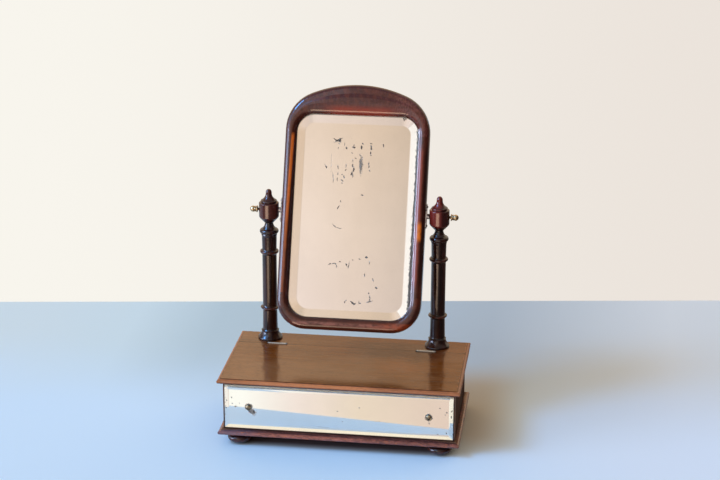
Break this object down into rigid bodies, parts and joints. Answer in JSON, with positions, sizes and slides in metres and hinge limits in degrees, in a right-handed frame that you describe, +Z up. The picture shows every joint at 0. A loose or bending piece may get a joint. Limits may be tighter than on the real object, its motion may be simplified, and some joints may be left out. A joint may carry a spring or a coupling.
{
  "type": "dressing table mirror",
  "caption": "Arched bevelled mirror that swings between turned posts on a lidded jewel box with a bevelled mirror panel and bun feet.",
  "frame": {"origin": "at table level, in the middle of the whole outline seen from above, with the mirror leaning back as pictured", "axes": "+X to the viewer's right along the box, +Y from the mirrored front towards the back, +Z up along the posts"},
  "size_m": [0.36, 0.2532, 0.4978],
  "materials": {
    "case_mahogany": "dark red french polish, worn at the edges",
    "lid_mahogany": "faded brown mahogany, worn satin polish",
    "post_mahogany": "near-black red-brown polish",
    "foot_mahogany": "dark red-brown polish",
    "frame_mahogany": "dark red mahogany, glossy french polish",
    "secondary_pine": "bare aged softwood",
    "main_mirror": "old silvered plate glass, speckled and streaked behind",
    "panel_mirror": "old silvered plate glass, spotted at the ends",
    "dark_brass": "dark tarnished brass",
    "worn_brass": "worn yellow brass, tarnished in the hollows"
  },
  "bodies": {
    "base": {"plinth_board": "case_mahogany", "box_front": "case_mahogany", "box_back": "case_mahogany", "box_left_side": "case_mahogany", "box_right_side": "case_mahogany", "front_mirror_panel": "panel_mirror", "panel_cup_washers": "dark_brass", "panel_screws": "dark_brass", "plinth_screws": "dark_brass", "foot_front_left": "foot_mahogany", "foot_front_right": "foot_mahogany", "foot_rear_left": "foot_mahogany", "foot_rear_right": "foot_mahogany", "rear_top_strip": "lid_mahogany", "left_glue_block": "secondary_pine", "right_glue_block": "secondary_pine", "left_post": "post_mahogany", "right_post": "post_mahogany", "left_hinge_fixed_leaf": "dark_brass", "right_hinge_fixed_leaf": "dark_brass", "left_hinge_pin": "dark_brass", "right_hinge_pin": "dark_brass", "hinge_fixed_screws": "dark_brass"},
    "box_lid": {"lid": "lid_mahogany", "left_hinge_moving_leaf": "dark_brass", "right_hinge_moving_leaf": "dark_brass", "hinge_moving_screws": "dark_brass"},
    "swing_mirror": {"left_stile": "frame_mahogany", "right_stile": "frame_mahogany", "crest_rail": "frame_mahogany", "bottom_rail": "frame_mahogany", "mirror_glass": "main_mirror", "glass_blocks": "secondary_pine", "backboard": "secondary_pine", "backboard_screws": "dark_brass", "left_pivot_plate": "worn_brass", "right_pivot_plate": "worn_brass", "pivot_plate_screws": "worn_brass"},
    "left_knob": {"left_thumbscrew": "worn_brass"},
    "right_knob": {"right_thumbscrew": "worn_brass"}
  },
  "joints": [
    {"name": "lid_hinge", "type": "hinge", "parent": "base", "child": "box_lid", "pos_m": [0, 0.02338, 0.1066], "axis": [-1, 0, 0], "range_deg": [0, 38]},
    {"name": "mirror_tilt", "type": "hinge", "parent": "base", "child": "swing_mirror", "pos_m": [0, 0.04838, 0.315], "axis": [-1, 0, 0], "range_deg": [-112, 68]},
    {"name": "left_thumbscrew_turn", "type": "hinge", "parent": "base", "child": "left_knob", "pos_m": [-0.13, 0.04838, 0.315], "axis": [-1, 0, 0], "range_deg": [0, 360]},
    {"name": "right_thumbscrew_turn", "type": "hinge", "parent": "base", "child": "right_knob", "pos_m": [0.13, 0.04838, 0.315], "axis": [1, 0, 0], "range_deg": [0, 360]}
  ]
}
